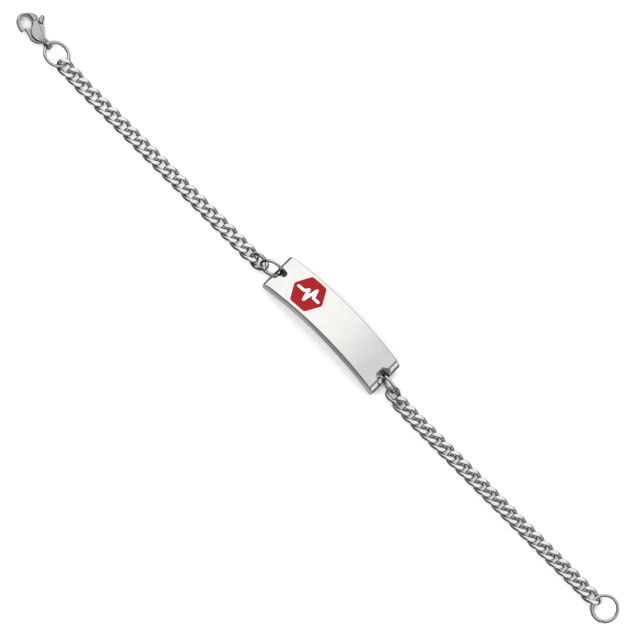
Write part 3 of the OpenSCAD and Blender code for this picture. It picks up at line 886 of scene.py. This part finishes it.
class BRACELET_OT_stage(Operator):
    """Pale floor, soft studio light and the camera"""

    bl_idname = "bracelet.stage"
    bl_label = "Stage"

    def execute(self, context):
        s = context.scene.bracelet_stage
        self.floor(s)
        self.light(context, s)
        self.camera(context, s)
        context.scene.view_settings.view_transform = "Standard"
        return {"FINISHED"}

    def floor(self, s):
        """A flat square just below the bracelet. The metal doesn't mirror it, because the
        picture's white ground is exposed past full white; the tent's lower half stands for it."""
        mesh = bpy.data.meshes.new("floor")
        e, z = 2.0, CAD_BOX[0][2] - 0.05 * MM
        mesh.from_pydata([(-e, -e, z), (e, -e, z), (e, e, z), (-e, e, z)], [], [(0, 1, 2, 3)])
        mesh.materials.append(floor_paper("floor_paper", s.floor))
        obj = bpy.data.objects.new("floor", mesh)
        bpy.context.scene.collection.objects.link(obj)
        obj.visible_glossy = False

    def light(self, context, s):
        """A light tent that differs at the left, at the right and behind, in front and below,
        so that the metal mirrors the photo's bright and dark bands, and two softboxes for the
        floor and its shadows, which the metal doesn't mirror."""
        world = bpy.data.worlds.new("tent")
        context.scene.world = world
        world.use_nodes = True
        tree = world.node_tree
        join = tree.links.new
        way = tree.nodes.new("ShaderNodeTexCoord")
        parts = tree.nodes.new("ShaderNodeSeparateXYZ")
        join(way.outputs["Generated"], parts.inputs["Vector"])
        x, y, z = (parts.outputs[axis] for axis in "XYZ")
        light = self.ramp(tree, z, TENT_BANDS)
        light = self.blend(tree, "MIX", self.fade(tree, x, *TO_LEFT), light, self.ramp(tree, z, TENT_LEFT))
        light = self.blend(tree, "MIX", self.fade(tree, y, *TO_FRONT), light, self.ramp(tree, z, TENT_FRONT))
        light = self.blend(tree, "MULTIPLY", None, light, self.fade(tree, x, *DIM_RIGHT))
        light = self.blend(tree, "ADD", None, light, self.fade(tree, x, *GLOW_RIGHT))
        light = self.blend(tree, "ADD", None, light, self.ramp(tree, z, TENT_BELOW))
        join(light, tree.nodes["Background"].inputs["Color"])
        tree.nodes["Background"].inputs["Strength"].default_value = s.dome
        for name, place, watts in (
            ("softbox_back", LAMP_BACK, s.softbox),
            ("softbox_front", LAMP_FRONT, s.front),
        ):
            lamp = bpy.data.lights.new(name, "AREA")
            lamp.shape, lamp.size, lamp.size_y, lamp.energy = "RECTANGLE", LAMP_SIDE, LAMP_SIDE, watts
            obj = bpy.data.objects.new(name, lamp)
            obj.location = place
            obj.rotation_euler = (-obj.location).to_track_quat("-Z", "Y").to_euler()
            obj.visible_glossy = False
            context.scene.collection.objects.link(obj)

    @staticmethod
    def ramp(tree, value, stops):
        """A grey ramp over a value from -1 to 1, through stops of that value and brightness."""
        node = tree.nodes.new("ShaderNodeValToRGB")
        elements = node.color_ramp.elements
        for place, grey in stops[1:-1]:
            elements.new((place + 1) / 2).color = (grey, grey, grey, 1)
        for element, (place, grey) in ((elements[0], stops[0]), (elements[-1], stops[-1])):
            element.position, element.color = (place + 1) / 2, (grey, grey, grey, 1)
        half = tree.nodes.new("ShaderNodeMapRange")
        half.inputs["From Min"].default_value = -1.0
        tree.links.new(value, half.inputs["Value"])
        tree.links.new(half.outputs["Result"], node.inputs["Fac"])
        return node.outputs["Color"]

    @staticmethod
    def fade(tree, value, source, target):
        """A smooth step from one brightness to another over a range of the value."""
        node = tree.nodes.new("ShaderNodeMapRange")
        node.interpolation_type = "SMOOTHSTEP"
        for key, number in zip(("From Min", "From Max", "To Min", "To Max"), (*source, *target)):
            node.inputs[key].default_value = number
        tree.links.new(value, node.inputs["Value"])
        return node.outputs["Result"]

    @staticmethod
    def blend(tree, kind, factor, first, second):
        """Two colours mixed by a factor, multiplied or added."""
        node = tree.nodes.new("ShaderNodeMix")
        node.data_type, node.blend_type = "RGBA", kind
        node.inputs["Factor"].default_value = 1.0
        for key, link in (("Factor", factor), ("A", first), ("B", second)):
            if link is not None:
                tree.links.new(link, node.inputs[key])
        return node.outputs["Result"]

    def camera(self, context, s):
        """Looks along +Y from the elevation and is rolled so that X runs to the lower right."""
        back = Vector((0, -math.cos(s.elevation), math.sin(s.elevation)))
        right, up = Vector((1, 0, 0)), Vector((0, math.sin(s.elevation), math.cos(s.elevation)))
        c, d = math.cos(s.roll), math.sin(s.roll)
        turn = Matrix((right * c + up * d, up * c - right * d, back)).transposed().to_4x4()
        data = bpy.data.cameras.new("camera")
        data.sensor_width = 36.0
        data.lens = data.sensor_width * s.distance / s.field
        data.clip_start, data.clip_end = 0.05, 20.0
        obj = bpy.data.objects.new("camera", data)
        obj.matrix_world = Matrix.Translation(Vector(s.aim) + back * s.distance) @ turn
        context.scene.collection.objects.link(obj)
        context.scene.camera = obj


class BRACELET_PT_panel(Panel):
    """Lists the pieces of the bracelet and their sizes"""

    bl_idname = "BRACELET_PT_panel"
    bl_label = "Medical alert bracelet"
    bl_space_type = "VIEW_3D"
    bl_region_type = "UI"
    bl_category = "Bracelet"

    def draw(self, context):
        for operator, group in STEPS:
            box = self.layout.box()
            box.operator(operator)
            if group:
                settings = getattr(context.scene, group)
                for key in settings.__annotations__:
                    box.prop(settings, key)


STEPS = (
    ("bracelet.stage", "bracelet_stage"),
    ("bracelet.plate", "bracelet_plate"),
    ("bracelet.badge", "bracelet_finish"),
    ("bracelet.chains", "bracelet_chain"),
    ("bracelet.rings", None),
    ("bracelet.clasp", "bracelet_clasp"),
)
GROUPS = {
    "bracelet_plate": BRACELET_PG_plate,
    "bracelet_chain": BRACELET_PG_chain,
    "bracelet_clasp": BRACELET_PG_clasp,
    "bracelet_finish": BRACELET_PG_finish,
    "bracelet_stage": BRACELET_PG_stage,
}
CLASSES = (
    *GROUPS.values(),
    BRACELET_OT_stage,
    BRACELET_OT_plate,
    BRACELET_OT_badge,
    BRACELET_OT_chains,
    BRACELET_OT_rings,
    BRACELET_OT_clasp,
    BRACELET_PT_panel,
)


def register():
    """Adds the classes and their settings to Blender."""
    for cls in CLASSES:
        bpy.utils.register_class(cls)
    for name, group in GROUPS.items():
        setattr(bpy.types.Scene, name, PointerProperty(type=group))


def unregister():
    """Takes them out again."""
    for name in GROUPS:
        delattr(bpy.types.Scene, name)
    for cls in reversed(CLASSES):
        bpy.utils.unregister_class(cls)


def main():
    """Builds the whole bracelet on its stage."""
    register()
    for operator, _ in STEPS:
        family, step = operator.split(".")
        getattr(getattr(bpy.ops, family), step)()


if __name__ == "__main__":
    main()
